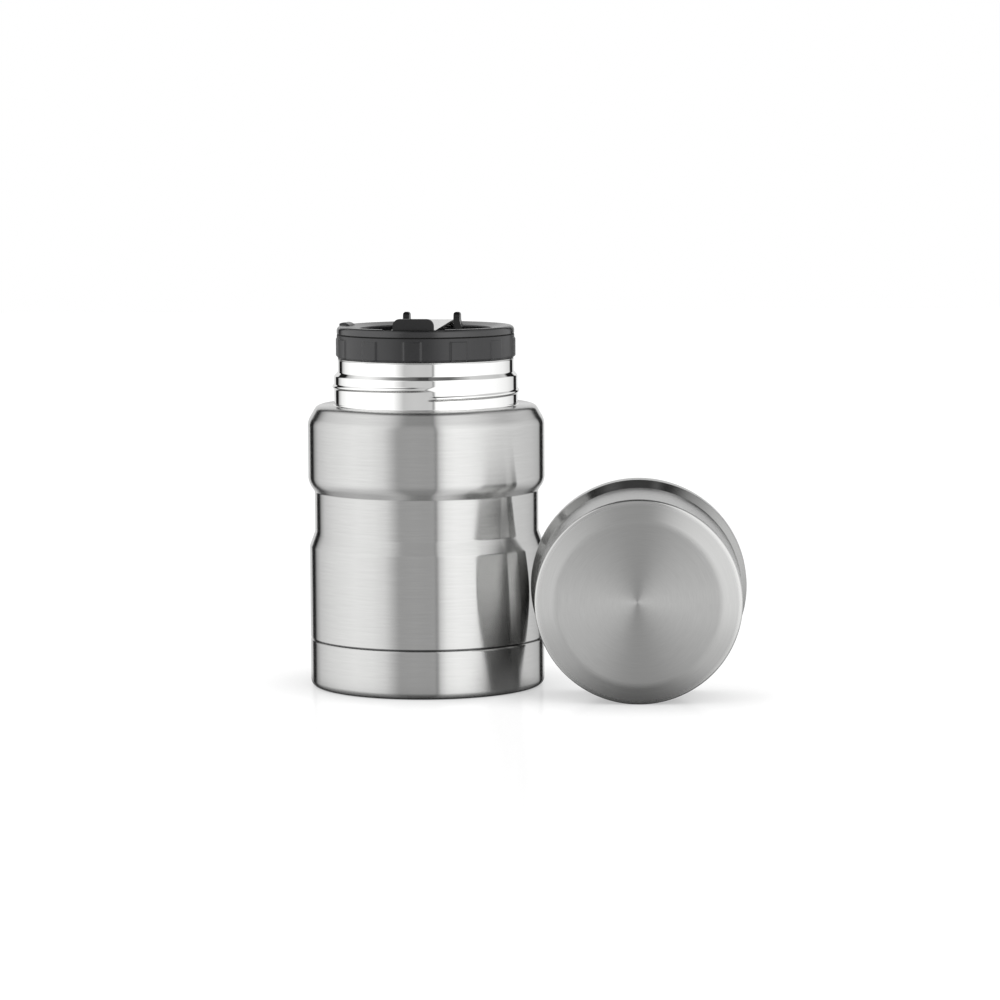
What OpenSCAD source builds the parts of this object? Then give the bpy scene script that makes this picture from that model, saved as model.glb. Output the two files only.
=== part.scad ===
// Insulated food jar: a double-walled steel jar with a screw-in stopper, a folding
// spoon stowed in the stopper's tray, and a steel cup lid lying beside the jar.
// Millimetres, +Z up, origin at the centre of the base, front towards -Y.

/* [Jar outside] */
// Diameter of the bulge under the shoulder
bulge_d = 97; // [94:0.5:110]
// Depth of the waist inside the bulge
waist_in = 2.6; // [1.8:0.1:3]
// Depth of the lower body and of the base band inside the bulge
lower_in = 0.4; // [0:0.1:1]
// Height of the base band, up to the roll line
base_h = 20.1; // [16:0.1:30]
// Height of the straight lower body, from the roll line up
lower_h = 37.6; // [25:0.1:60]
// Height of the slope from the lower body in to the waist
lower_slope_h = 6; // [4:0.1:8]
// Height of the waist
waist_h = 16.5; // [10:0.1:30]
// Height of the slope from the waist out to the bulge
bulge_slope_h = 3.9; // [3.5:0.1:7]
// Height of the straight bulge
bulge_h = 24.9; // [16:0.1:40]
// Height of the shoulder's slope
shoulder_h = 6.5; // [5.5:0.1:8]
// Width of the shoulder's slope
shoulder_in = 3.7; // [3:0.1:5]
// Width of the roll line
groove_w = 0.5; // [0.3:0.1:1]
// Rounding of the base's lower edge
foot_r = 2.6; // [2:0.1:4]
// Radius of the ring pressed into the base's underside
foot_ring_r = 37; // [30:0.5:39]
// Depth of that ring
foot_ring_h = 1; // [0.5:0.1:1.5]

/* [Neck] */
// Outer diameter of the threaded part of the neck
neck_d = 75.1; // [74:0.1:76]
// Depth of the step in at the neck's top
neck_step_w = 1.55; // [1.1:0.05:1.8]
// Height of the threaded part
neck_h = 11.9; // [10:0.1:16]
// Height of the step in
neck_step_h = 1.7; // [1.2:0.1:3]
// Height of the neck above the step
neck_top_h = 5.5; // [4:0.1:8]
// Height of the thread bead over the neck
bead_h = 0.75; // [0.5:0.05:0.9]
// Width of the thread bead
bead_w = 2.2; // [1.6:0.1:2.6]
// Rise of the thread bead in one turn
bead_pitch = 3.8; // [3.4:0.1:4.4]
// Height of the start of the bead above the shoulder
bead_start = 4.7; // [3.5:0.1:5.5]

/* [Double wall] */
// Thickness of the outer steel
outer_t = 0.6; // [0.4:0.05:0.8]
// Thickness of the inner steel
inner_t = 0.5; // [0.4:0.05:0.7]
// Width of the vacuum space at the waist
vacuum_w = 2.3; // [1.5:0.1:4]
// Width of the vacuum space in the neck
neck_vacuum_w = 0.4; // [0.3:0.1:1]
// Height of the food vessel's underside above the floor
vessel_z = 9; // [8.6:0.1:12]
// Height of the vessel's bottom cup
vessel_cup_h = 9; // [8:0.5:16]
// Rounding inside the vessel's bottom
vessel_r = 6; // [4:0.5:7]
// Height of the slope from the vessel in to the mouth
vessel_slope_h = 10; // [8:0.5:14]
// Height of the vacuum plate above the floor
plate_z = 4; // [3.8:0.1:5]
// Height of the vacuum plate's welded rim
plate_rim_h = 7; // [4:0.5:9]
// Thickness of the folded lip at the mouth
lip_t = 0.6; // [0.4:0.1:1]
// Thickness of the reflecting foil
foil_t = 0.15; // [0.1:0.05:0.3]
// Diameter of the vacuum seal bead
seal_bead_d = 6; // [4:0.5:10]
// Diameter of the getter
getter_d = 10; // [6:0.5:14]
// Height of the getter
getter_h = 1.5; // [1:0.1:2.5]
// Distance of the getter from the axis
getter_at = 20; // [12:1:30]

/* [Stopper] */
// Turn of the screwed-in stopper, seen from above, clockwise negative
lid_turn = -7.5; // [-30:0.5:30]
// Reach of the grip ring over the neck's top
ring_over = 0.35; // [0.2:0.05:1]
// Height of the grip ring, up to the parting line
ring_h = 9.9; // [8:0.1:14]
// Number of grip pads
pad_count = 12; // [6:1:16]
// Width of a grip pad
pad_w = 7; // [4:0.5:9]
// Height of the grip pads over the ring
pad_proud = 0.5; // [0.3:0.05:0.8]
// Height of the grip pads
pad_h = 7.2; // [4:0.1:7.6]
// Height of the tray's flange above the parting line
flange_h = 3.3; // [2.8:0.1:5]
// Rounding of the flange's outer edge
flange_r = 1.8; // [1:0.1:2.2]
// Width of the flat crest of the flange
crest_w = 1.4; // [0.8:0.1:2]
// Fall of the dished top from the crest to the tray
dish_h = 1.2; // [0.6:0.1:1.6]
// Width of the foam between the plug's wall and the tray
foam_w = 2.7; // [1.5:0.1:3.5]
// Depth of the tray below the flange's crest
tray_depth = 15.8; // [15.8:0.1:18]
// Wall thickness of the mouldings
plastic_t = 1.6; // [1.2:0.1:2]
// Depth of the plug below the mouth
plug_h = 22; // [20:0.5:26]
// Height of the plug's thread ridge
ridge_h = 0.8; // [0.5:0.1:0.9]
// Rise of the plug's thread in one turn
ridge_pitch = 8; // [6:0.5:10]
// Thickness of the silicone seal
seal_t = 1.2; // [0.8:0.1:2]
// Width of the finger notch in the flange
notch_w = 25.6; // [20:0.2:30]
// Depth of the notch's pocket below the crest
notch_drop = 1.9; // [1.8:0.1:2.4]
// Width of the lip that stays in front of the pocket
lip_w = 1.4; // [1:0.1:2]
// Drop of that lip below the crest
lip_drop = 0.4; // [0.2:0.1:0.8]
// Length of the index bump on the flange
bump_l = 7; // [4:0.5:8]
// Width of the index bump, from the outside inwards
bump_w = 4.8; // [3.6:0.1:5]
// Height of the index bump
bump_h = 1; // [0.4:0.1:1.2]
// Direction of the index bump, from the front towards the right
bump_angle = -98; // [-120:1:-80]

/* [Spoon] */
// Width of the folded handle
handle_w = 17.9; // [14:0.1:19]
// Thickness of the steel handle
handle_t = 0.8; // [0.6:0.1:1.2]
// Slope of the folded handle, down towards the front
handle_slope = 1.9; // [1:0.1:2.2]
// Distance of the hinge pin from the tray's wall
pin_in = 9.1; // [8.5:0.1:10.5]
// Drop of the hinge pin below the flange's crest
pin_drop = 0.3; // [0:0.1:0.5]
// Diameter of the hinge pin
pin_d = 1.8; // [1.4:0.1:2]
// Running clearance of the pin, on the radius
pin_fit = 0.05; // [0.02:0.01:0.1]
// Radius of the knuckle rolled round the pin
knuckle_r = 1.8; // [1.7:0.05:1.9]
// Thickness of each ear
ear_t = 2.6; // [2:0.1:3]
// How far each ear spreads outwards at its foot
ear_spread = 1.2; // [0:0.1:1.4]
// Height of the ears over the pin
ear_over = 4.9; // [3:0.1:6]
// Depth of the yoke from front to back
yoke_l = 8.4; // [7:0.1:9]
// Width of the finger tab
tab_w = 16.6; // [12:0.1:17.8]
// Thickness of the finger tab
tab_t = 1.6; // [1.2:0.1:2]
// Height of the finger tab
tab_h = 5.6; // [4:0.1:7]
// Rounding of the finger tab's corners
tab_r = 2.8; // [1:0.1:3.5]
// Length of the tab's foot on the handle
tab_foot = 6; // [5:0.1:8]
// How far the tab's foot lies inside the tab, on each side
tab_foot_in = 1.4; // [0:0.1:1.6]
// Rise of the spoon's bowl from its lowest point to its back edge
bowl_rise = 7; // [6:0.1:7.3]
// Width of the tray left beside the bowl
bowl_side = 10.5; // [10:0.1:12.5]
// Narrowing of the bowl's outline towards its back
bowl_taper = 5; // [4:0.1:8]
// Distance between the centres of those two curves
bowl_l = 9; // [6:0.1:9.5]
// Diameter of the rivets
rivet_d = 2.4; // [2:0.1:3]

/* [Cup lid] */
// Width of the cup's step from the body out to the rim band
cup_step_w = 2.35; // [1.8:0.05:3]
// Height of the straight rim band
cup_rim_h = 5; // [4:0.1:8]
// Height of the step from the rim band in to the body
cup_step_h = 6.5; // [5:0.1:9]
// Height from the rim to the line round the closed end
cup_edge_h = 38.7; // [36:0.1:46]
// Rounding of the closed end's edge
cup_corner_r = 1; // [0.9:0.1:1.5]
// Width of the sloping band round the closed end
cup_slope_w = 8.2; // [6:0.1:10]
// Slope of that band, in degrees
cup_slope_lean = 20; // [10:1:24]
// Wall thickness of the liner
liner_t = 1.2; // [0.9:0.1:1.6]
// Gap between the liner and the cup's body
liner_gap = 0.65; // [0.3:0.05:1]
// Thickness of the insulating pad in the closed end
pad_t = 1.2; // [0.8:0.1:1.6]
// Gap between the jar and the cup that lies beside it
cup_gap = 0.9; // [0.8:0.1:40]
// Distance of the cup's rim centre in front of the jar's axis
cup_front = 24.8; // [23:0.1:60]
// Turn of the cup's closed end, seen from above, clockwise negative
cup_turn = -2.1; // [-6:0.1:0]

/* [Clearances] */
// Gap between pieces that are fitted together
fit = 0.1; // [0.05:0.05:0.2]
// Gap between pieces that move past each other
clear = 0.3; // [0.3:0.05:0.4]
// Gap between the liner and the neck's thread bead
thread_clear = 0.5; // [0.4:0.05:0.8]

/* [Hidden] */

$fn = 96;
ARC_STEPS = 6;
STRAIGHT = 89.9;

// Heights of the jar, from the floor up.
lower_top_z = base_h + lower_h;
waist_z = lower_top_z + lower_slope_h;
waist_top_z = waist_z + waist_h;
bulge_z = waist_top_z + bulge_slope_h;
bulge_top_z = bulge_z + bulge_h;
shoulder_z = bulge_top_z + shoulder_h;
neck_step_z = shoulder_z + neck_h;
neck_top_z = neck_step_z + neck_step_h;
mouth_z = neck_top_z + neck_top_h;
split_z = mouth_z + ring_h;
crest_z = split_z + flange_h;

// Radii of the jar.
bulge_r = bulge_d / 2;
waist_r = bulge_r - waist_in;
lower_r = bulge_r - lower_in;
shoulder_r = bulge_r - shoulder_in;
neck_r = neck_d / 2;
neck_top_r = neck_r - neck_step_w;
vessel_in_r = waist_r - outer_t - vacuum_w - inner_t;
mouth_r = neck_top_r - outer_t - neck_vacuum_w - inner_t;
spigot_r = lower_r - outer_t - fit;
spigot_h = 5;
foot_ring_w = 2;
foot_ring_edge_r = 0.5;
groove_top_z = base_h + groove_w / 2;
groove_low_z = base_h - groove_w / 2;
vessel_split_z = vessel_z + vessel_cup_h;
vessel_slope_z = bulge_top_z - vessel_slope_h;
foil_z = vessel_split_z + vessel_r;

// Roundings along the jar's side, and the reach of the bands that overlap or seat.
edge_r = 0.15;
slope_low_r = 3;
waist_low_r = 2.5;
waist_high_r = 0.8;
bulge_low_r = 7.5;
bulge_high_r = 7;
shoulder_edge_r = 3.2;
neck_foot_r = 0.5;
neck_step_r = 0.8;
lip_in_r = 0.3;
lip_out_r = 0.2;
vessel_slope_r = 8;
mouth_foot_r = 4;
plate_r = 1.5;
seal_bead_h = 1;
seal_bead_r = 0.8;

// The stopper.
ring_r = neck_top_r + ring_over;
plug_r = mouth_r - clear - ridge_h;
plug_in_r = plug_r - plastic_t;
plug_z = mouth_z - plug_h;
tray_out_r = plug_in_r - foam_w;
tray_r = tray_out_r - plastic_t;
tray_floor_z = crest_z - tray_depth;
tray_low_z = tray_floor_z - plastic_t;
crest_out_r = ring_r - flange_r;
crest_in_r = crest_out_r - crest_w;
dish_z = crest_z - dish_h;
ring_chamfer = 0.5;
part_chamfer = 0.3;
pad_drop = 0.2;
pad_root = 0.3;
pad_z = mouth_z + (ring_h - pad_h) / 2 - pad_drop;
plug_corner_r = 2;
seat_in_r = mouth_r + fit;
seat_out_r = neck_top_r - fit * 2;
ridge_w = 2;
ridge_halves = 3;
ridge_start = 6;
tray_low_r = 3;
tray_floor_r = 2;
tray_rim_r = 0.6;
crest_r = 1;
bump_set_in = 0.3;
bump_mid_r = crest_out_r - 0.5;
bump_round = (pow(bump_w / 2, 2) + pow(bump_h, 2)) / (2 * bump_h);
notch_l = ring_r - sqrt(pow(tray_r, 2) - pow(notch_w / 2, 2)) + fit;
bump_root = 1;

// The spoon, with its pin across the stopper.
pin_r = pin_d / 2;
pin_z = crest_z - pin_drop;
pin_back = tray_r - pin_in;
ear_in = handle_w / 2 + clear;
ear_out = ear_in + ear_t;
ear_top_r = 2.4;
ear_foot_r = 1;
ear_edge_r = 0.9;
ear_waist = 1.5;
ear_foot_z = pin_z - 2.5;
lip_z = crest_z - lip_drop;
notch_z = crest_z - notch_drop;
handle_end = sqrt(pow(ring_r - lip_w - clear, 2) - pow(tab_w / 2, 2)) - tab_t;
handle_l = handle_end + pin_back;
tab_foot_t = 1.2;
tab_hang = 0.3;
tab_low = knuckle_r - handle_t - tab_hang;
tab_edge_r = 0.4;
over = 1;
tang_root = 2;
bowl_t = 0.8;
bowl_margin = 1.5;
bowl_front_r = tray_r - bowl_side;
bowl_back_r = bowl_front_r - bowl_taper;
bowl_front_y = bowl_front_r + clear + bowl_margin - tray_r;
bowl_back_y = bowl_front_y + bowl_l;
bowl_reach = bowl_l + bowl_back_r - tang_root;
bowl_curve = (pow(bowl_reach, 2) + pow(bowl_rise, 2)) / (2 * bowl_rise);
bowl_z = tray_floor_z + clear;
bowl_centre_z = bowl_z + bowl_curve;
rivet_gap = 9;
rivet_r = rivet_d / 2;
rivet_head_r = rivet_r + 0.7;
rivet_head_t = 0.6;

// The tang leaves the bowl a little inside its back edge.
tang_w = 13;
tang_t = 1.2;
tang_y = bowl_front_y + bowl_reach;
tang_z = bowl_z + bowl_rise;
bowl_h = tang_z + tang_t - bowl_z + bowl_t * 4;
yoke_front = pin_back - yoke_l / 2;
yoke_z = tang_z + tang_t;
yoke_h = 3;

// The cup, which lies on its rim and on the edge of its closed end.
liner_r = neck_r + bead_h + thread_clear;
liner_out_r = liner_r + liner_t;
cup_r = liner_out_r + liner_gap + outer_t;
cup_rim_r = cup_r + cup_step_w;
cup_x = sqrt(pow(bulge_r, 2) - pow(cup_front, 2)) + cup_gap + cup_rim_r;
cup_line_w = 0.6;
cup_line_deep = 0.25;
cup_line_land = 0.2;
cup_rim_round = 2;
cup_body_round = 2;
cup_end_round = 7.8;
cup_end_z = cup_edge_h + cup_line_w / 2 + cup_line_land;
cup_slope_z = cup_end_z + cup_corner_r * tan(45 - cup_slope_lean / 2);
cup_flat_r = cup_r - cup_slope_w;
cup_h = cup_slope_z + cup_slope_w * tan(cup_slope_lean);
cup_step_lean = atan((cup_rim_r - cup_r) / cup_step_h);
cup_round_z = cup_rim_h - cup_rim_round * tan(cup_step_lean / 2);

// The floor touches the rounding under the rim band and the rounding of the closed end.
// Their centres lie apart by rest_r across the cup and rest_z along it.
rest_r = cup_rim_r - cup_rim_round - cup_r + cup_corner_r;
rest_z = cup_end_z - cup_round_z;
cup_tilt = acos((cup_corner_r - cup_rim_round) / norm([rest_r, rest_z])) - atan2(rest_z, rest_r);
cup_rise = (cup_rim_r - cup_rim_round) * cos(cup_tilt) + cup_round_z * sin(cup_tilt)
    + cup_rim_round;
liner_top_z = cup_h - outer_t - fit - pad_t - fit;
liner_lip_r = cup_rim_r - outer_t - fit;
liner_z = 0.6;
liner_lip_t = 1.8;
liner_edge_r = 0.4;
liner_corner_r = 5;
liner_thread_z = 5;
liner_thread_h = 0.85;

// Unit vector of v.
function unit(v) = v / norm(v);

// Points of an arc of radius r that rounds the corner b between the neighbours a and c.
function corner(a, b, c, r) =
    let (to_a = unit(a - b))
    let (to_c = unit(c - b))
    let (half = acos(to_a * to_c) / 2)
    r <= 0 || half > STRAIGHT ? [b] :
    let (middle = b + unit(to_a + to_c) * r / sin(half))
    let (from = b + to_a * r / tan(half) - middle)
    let (to = b + to_c * r / tan(half) - middle)
    let (start = atan2(from.y, from.x))
    let (swing = atan2(from.x * to.y - from.y * to.x, from * to))
    [for (i = [0:ARC_STEPS]) let (angle = start + swing * i / ARC_STEPS)
        middle + r * [cos(angle), sin(angle)]];

// A closed outline through corners given as [x, y, rounding radius].
function outline(corners) =
    let (n = len(corners))
    let (flat = [for (p = corners) [p.x, p.y]])
    [for (i = [0:n - 1]) each
        corner(flat[(i + n - 1) % n], flat[i], flat[(i + 1) % n], corners[i].z)];

// The corners in the opposite order.
function backwards(list) = [for (i = [len(list) - 1:-1:0]) list[i]];

// A solid of revolution about Z, from rounded corners.
module turned(corners) {
    rotate_extrude(angle = 360)
        polygon(outline(corners));
}

// A helical bead made of half turns, each a half ring tilted about X, so that the ends of
// neighbouring halves meet in one plane. The section is a point list with x measured from
// the radius and y from the middle of the bead.
module helix(radius, z, pitch, halves, section) {
    lead = asin(pitch / (4 * radius));
    for (i = [0:halves - 1])
        translate([0, 0, z + (i + 0.5) * pitch / 2])
            rotate([0, 0, i * 180])
                rotate([lead, 0, 0])
                    rotate([0, 0, -90])
                        rotate_extrude(angle = 180)
                            translate([radius, 0])
                                polygon(section);
}

// The section of a pressed or moulded thread bead, whose flanks run on into its wall.
function bead_section(height, width, root) =
    let (crest = width / 5)
    let (foot = width / 2 + (width / 2 - crest) * root / height)
    [[-root, -foot], [height, -crest], [height, crest], [-root, foot]];

// Side of the jar from the roll line to the mouth, moved inwards by t.
function jar_side(t) = [
    [lower_r - t, lower_top_z, slope_low_r],
    [waist_r - t, waist_z, waist_low_r],
    [waist_r - t, waist_top_z + t, waist_high_r],
    [bulge_r - t, bulge_z + t, bulge_low_r],
    [bulge_r - t, bulge_top_z, bulge_high_r - t],
    [shoulder_r - t, shoulder_z - t, shoulder_edge_r - t],
    [neck_r - t, shoulder_z - t, neck_foot_r],
    [neck_r - t, neck_step_z, neck_step_r],
    [neck_top_r - t, neck_top_z, neck_step_r]];

module outer_shell() {
    color("silver") {
        turned(concat(
            [[lower_r, groove_top_z, edge_r]],
            jar_side(0),
            [[neck_top_r, mouth_z - lip_t, 0],
             [neck_top_r - outer_t, mouth_z - lip_t, 0]],
            backwards(jar_side(outer_t)),
            [[lower_r - outer_t, groove_top_z, 0]]));
        helix(neck_r, shoulder_z + bead_start, bead_pitch, 2,
            bead_section(bead_h, bead_w, outer_t / 2));
    }
}

// The ring pressed up into the base's underside, raised by t.
function foot_ring(t) = [
    [foot_ring_r - foot_ring_w - foot_ring_h, t, foot_ring_edge_r],
    [foot_ring_r - foot_ring_w, t + foot_ring_h, foot_ring_edge_r],
    [foot_ring_r, t + foot_ring_h, foot_ring_edge_r],
    [foot_ring_r + foot_ring_h, t, foot_ring_edge_r]];

module base_cup() {
    color("silver")
        turned(concat(
            [[0, 0, 0]],
            foot_ring(0),
            [[lower_r, 0, foot_r],
             [lower_r, groove_low_z, edge_r],
             [spigot_r, groove_low_z, 0],
             [spigot_r, groove_top_z + spigot_h, 0],
             [spigot_r - outer_t, groove_top_z + spigot_h, 0],
             [spigot_r - outer_t, outer_t, foot_r - outer_t]],
            backwards(foot_ring(outer_t)),
            [[0, outer_t, 0]]));
}

module inner_vessel() {
    out_r = vessel_in_r + inner_t;
    neck_out_r = mouth_r + inner_t;
    color("gainsboro")
        turned([
            [vessel_in_r, vessel_split_z, 0],
            [out_r, vessel_split_z, 0],
            [out_r, vessel_slope_z, vessel_slope_r],
            [neck_out_r, bulge_top_z, mouth_foot_r],
            [neck_out_r, mouth_z - lip_t, 0],
            [neck_top_r, mouth_z - lip_t, 0],
            [neck_top_r, mouth_z, lip_out_r],
            [mouth_r, mouth_z, lip_in_r],
            [mouth_r, bulge_top_z, mouth_foot_r],
            [vessel_in_r, vessel_slope_z, vessel_slope_r]]);
}

module vessel_bottom() {
    out_r = vessel_in_r + inner_t;
    color("gainsboro")
        turned([
            [0, vessel_z, 0],
            [out_r, vessel_z, vessel_r + inner_t],
            [out_r, vessel_split_z, 0],
            [vessel_in_r, vessel_split_z, 0],
            [vessel_in_r, vessel_z + inner_t, vessel_r],
            [0, vessel_z + inner_t, 0]]);
}

module vacuum_plate() {
    rim_r = spigot_r - outer_t - fit;
    color("darkgray")
        turned([
            [0, plate_z, 0],
            [rim_r, plate_z, plate_r],
            [rim_r, plate_z + plate_rim_h, 0],
            [rim_r - outer_t, plate_z + plate_rim_h, 0],
            [rim_r - outer_t, plate_z + outer_t, plate_r - outer_t],
            [0, plate_z + outer_t, 0]]);
}

module seal_bead() {
    color("dimgray")
        turned([
            [0, plate_z - seal_bead_h, 0],
            [seal_bead_d / 2, plate_z - seal_bead_h, seal_bead_r],
            [seal_bead_d / 2, plate_z, 0],
            [0, plate_z, 0]]);
}

module getter() {
    color("slategray")
        translate([getter_at, 0, plate_z + outer_t])
            cylinder(d = getter_d, h = getter_h);
}

module foil_wrap() {
    in_r = vessel_in_r + inner_t + fit;
    color("orange")
        turned([
            [in_r, foil_z, 0],
            [in_r + foil_t, foil_z, 0],
            [in_r + foil_t, vessel_slope_z - vessel_r, 0],
            [in_r, vessel_slope_z - vessel_r, 0]]);
}

// Turns what rides on the stopper to the way in which it is screwed in.
module in_lid() {
    rotate([0, 0, lid_turn])
        children();
}

module grip_pads() {
    intersection() {
        translate([0, 0, pad_z])
            difference() {
                cylinder(r = ring_r + pad_proud, h = pad_h);
                cylinder(r = ring_r - pad_root, h = pad_h);
            }
        for (i = [0:pad_count - 1])
            rotate([0, 0, i * 360 / pad_count])
                translate([-pad_w / 2, -ring_r - pad_proud, pad_z])
                    cube([pad_w, plastic_t + pad_proud, pad_h]);
    }
}

module stopper_body() {
    color("dimgray")
        in_lid() {
            turned([
                [0, plug_z, 0],
                [plug_r, plug_z, plug_corner_r],
                [plug_r, mouth_z, 0],
                [seat_in_r, mouth_z, 0],
                [seat_in_r, mouth_z + seal_t, 0],
                [seat_out_r, mouth_z + seal_t, 0],
                [seat_out_r, mouth_z, 0],
                [ring_r - ring_chamfer, mouth_z, 0],
                [ring_r, mouth_z + ring_chamfer * 2, 0],
                [ring_r, split_z - part_chamfer, 0],
                [ring_r - part_chamfer, split_z, 0],
                [plug_in_r, split_z, 0],
                [plug_in_r, plug_z + plastic_t, plug_corner_r],
                [0, plug_z + plastic_t, 0]]);
            grip_pads();
            helix(plug_r, plug_z + ridge_start, ridge_pitch, ridge_halves,
                bead_section(ridge_h, ridge_w, plastic_t / 2));
        }
}

module tray_blank() {
    turned([
        [0, tray_low_z, 0],
        [tray_out_r, tray_low_z, tray_low_r],
        [tray_out_r, split_z, 0],
        [ring_r - part_chamfer, split_z, 0],
        [ring_r, split_z + part_chamfer, 0],
        [ring_r, crest_z, flange_r],
        [crest_in_r, crest_z, crest_r],
        [tray_r, dish_z, tray_rim_r],
        [tray_r, tray_floor_z, tray_floor_r],
        [0, tray_floor_z, 0]]);
}

module stopper_tray() {
    color("dimgray")
        in_lid() {
            difference() {
                tray_blank();
                translate([-notch_w / 2, -ring_r, lip_z])
                    cube([notch_w, notch_l, flange_h]);
                intersection() {
                    translate([-notch_w / 2, -ring_r, notch_z])
                        cube([notch_w, notch_l, flange_h]);
                    translate([0, 0, notch_z])
                        cylinder(r = ring_r - lip_w, h = flange_h);
                }
            }
            index_bump();
        }
}

// The index bump: a low mound across the flange, as a slice of a lying cylinder.
module index_bump() {
    intersection() {
        rotate([0, 0, bump_angle])
            translate([-bump_l / 2, -bump_mid_r, crest_z + bump_h - bump_round])
                rotate([0, 90, 0])
                    cylinder(r = bump_round, h = bump_l);
        translate([0, 0, crest_z - bump_root])
            cylinder(r = ring_r - bump_set_in, h = bump_root + bump_h * 2);
    }
}

module stopper_foam() {
    color("ivory")
        in_lid()
            turned([
                [0, plug_z + plastic_t + fit, 0],
                [plug_in_r - fit, plug_z + plastic_t + fit, plug_corner_r],
                [plug_in_r - fit, split_z - fit, 0],
                [tray_out_r + fit, split_z - fit, 0],
                [tray_out_r + fit, tray_low_z - fit, tray_low_r],
                [0, tray_low_z - fit, 0]]);
}

module plug_seal() {
    in_r = seat_in_r + fit;
    out_r = seat_out_r - fit;
    color("lightgray")
        in_lid()
            turned([
                [in_r, mouth_z, 0],
                [out_r, mouth_z, 0],
                [out_r, mouth_z + seal_t, 0],
                [in_r, mouth_z + seal_t, 0]]);
}

// Outline of the spoon's bowl: two round ends joined by their common tangents.
module bowl_outline() {
    lean = asin((bowl_front_r - bowl_back_r) / bowl_l);
    front = bowl_front_r * [cos(lean), sin(lean)] + [0, bowl_front_y];
    back = bowl_back_r * [cos(lean), sin(lean)] + [0, bowl_back_y];
    union() {
        translate([0, bowl_front_y])
            circle(r = bowl_front_r);
        translate([0, bowl_back_y])
            circle(r = bowl_back_r);
        polygon([front, back, [-back.x, back.y], [-front.x, front.y]]);
    }
}

module spoon_bowl() {
    color("gainsboro")
        in_lid() {
            intersection() {
                difference() {
                    translate([0, bowl_front_y, bowl_centre_z])
                        sphere(r = bowl_curve);
                    translate([0, bowl_front_y, bowl_centre_z])
                        sphere(r = bowl_curve - bowl_t);
                }
                translate([0, 0, bowl_z - bowl_t])
                    linear_extrude(height = bowl_h)
                        bowl_outline();
            }
            tang();
        }
}

// Flat end of the bowl under the yoke.
module tang() {
    difference() {
        translate([-tang_w / 2, tang_y, tang_z])
            cube([tang_w, yoke_front + yoke_l - tang_y, tang_t]);
        rivet_places()
            translate([0, 0, tang_z - over])
                cylinder(r = rivet_r, h = tang_t + over * 2);
    }
}

module rivet_places() {
    for (side = [-1, 1])
        translate([side * rivet_gap / 2, pin_back, 0])
            children();
}

// One ear, seen from the side: a round top that widens down to the yoke's block.
module ear_side() {
    top_z = pin_z + ear_over;
    round_r = ear_top_r * 0.95;
    polygon(outline([
        [yoke_front, yoke_z, 0],
        [yoke_front + yoke_l, yoke_z, 0],
        [yoke_front + yoke_l, yoke_z + yoke_h, ear_foot_r],
        [pin_back + ear_top_r, top_z - ear_top_r, 0],
        [pin_back + ear_top_r, top_z, round_r],
        [pin_back - ear_top_r, top_z, round_r],
        [pin_back - ear_top_r, top_z - ear_top_r, 0],
        [yoke_front, yoke_z + yoke_h, ear_foot_r]]));
}

// One ear, seen from the front: rounded at its top, and spread outwards at its foot.
module ear_front() {
    top_z = pin_z + ear_over;
    polygon(outline([
        [ear_in, yoke_z, 0],
        [ear_out + ear_spread, yoke_z, 0],
        [ear_out + ear_spread, ear_foot_z, 0],
        [ear_out, pin_z + ear_waist, ear_waist],
        [ear_out, top_z, ear_edge_r],
        [ear_in, top_z, ear_edge_r]]));
}

// One ear: what its two outlines have in common.
module ear() {
    intersection() {
        translate([ear_in, 0, 0])
            rotate([90, 0, 90])
                linear_extrude(height = ear_t + ear_spread)
                    ear_side();
        translate([0, yoke_front + yoke_l, 0])
            rotate([90, 0, 0])
                linear_extrude(height = yoke_l)
                    ear_front();
    }
}

module spoon_yoke() {
    color("black")
        in_lid()
            difference() {
                union() {
                    ear();
                    mirror([1, 0, 0])
                        ear();
                    translate([-ear_out, yoke_front, yoke_z])
                        cube([ear_out * 2, yoke_l, yoke_h]);
                }
                translate([-ear_out - over, pin_back, pin_z])
                    rotate([0, 90, 0])
                        cylinder(r = pin_r, h = (ear_out + over) * 2);
                rivet_places()
                    translate([0, 0, yoke_z - over])
                        cylinder(r = rivet_r, h = yoke_h + over * 2);
            }
}

module hinge_pin() {
    color("silver")
        in_lid()
            translate([-ear_out, pin_back, pin_z])
                rotate([0, 90, 0])
                    cylinder(r = pin_r, h = ear_out * 2);
}

module yoke_rivets() {
    color("silver")
        in_lid()
            rivet_places() {
                translate([0, 0, tang_z - rivet_head_t])
                    cylinder(r = rivet_head_r, h = rivet_head_t);
                translate([0, 0, tang_z - rivet_head_t])
                    cylinder(r = rivet_r, h = rivet_head_t + tang_t + yoke_h);
                translate([0, 0, yoke_z + yoke_h])
                    cylinder(r = rivet_head_r, h = rivet_head_t);
            }
}

// Places the folded handle: the pin is the origin and the handle runs to -Y.
module at_pin() {
    in_lid()
        translate([0, pin_back, pin_z])
            rotate([handle_slope, 0, 0])
                children();
}

module spoon_handle() {
    color("gainsboro")
        at_pin()
            difference() {
                union() {
                    translate([-handle_w / 2, 0, 0])
                        rotate([0, 90, 0])
                            cylinder(r = knuckle_r, h = handle_w);
                    translate([-handle_w / 2, -handle_l, knuckle_r - handle_t])
                        cube([handle_w, handle_l, handle_t]);
                }
                translate([-handle_w / 2 - over, 0, 0])
                    rotate([0, 90, 0])
                        cylinder(r = pin_r + pin_fit, h = handle_w + over * 2);
                tab_rivet_places()
                    translate([0, 0, knuckle_r - handle_t - over])
                        cylinder(r = rivet_r, h = handle_t + over * 2);
            }
}

module tab_rivet_places() {
    for (side = [-1, 1])
        translate([side * rivet_gap / 2, tab_foot / 2 - handle_l, 0])
            children();
}

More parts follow.
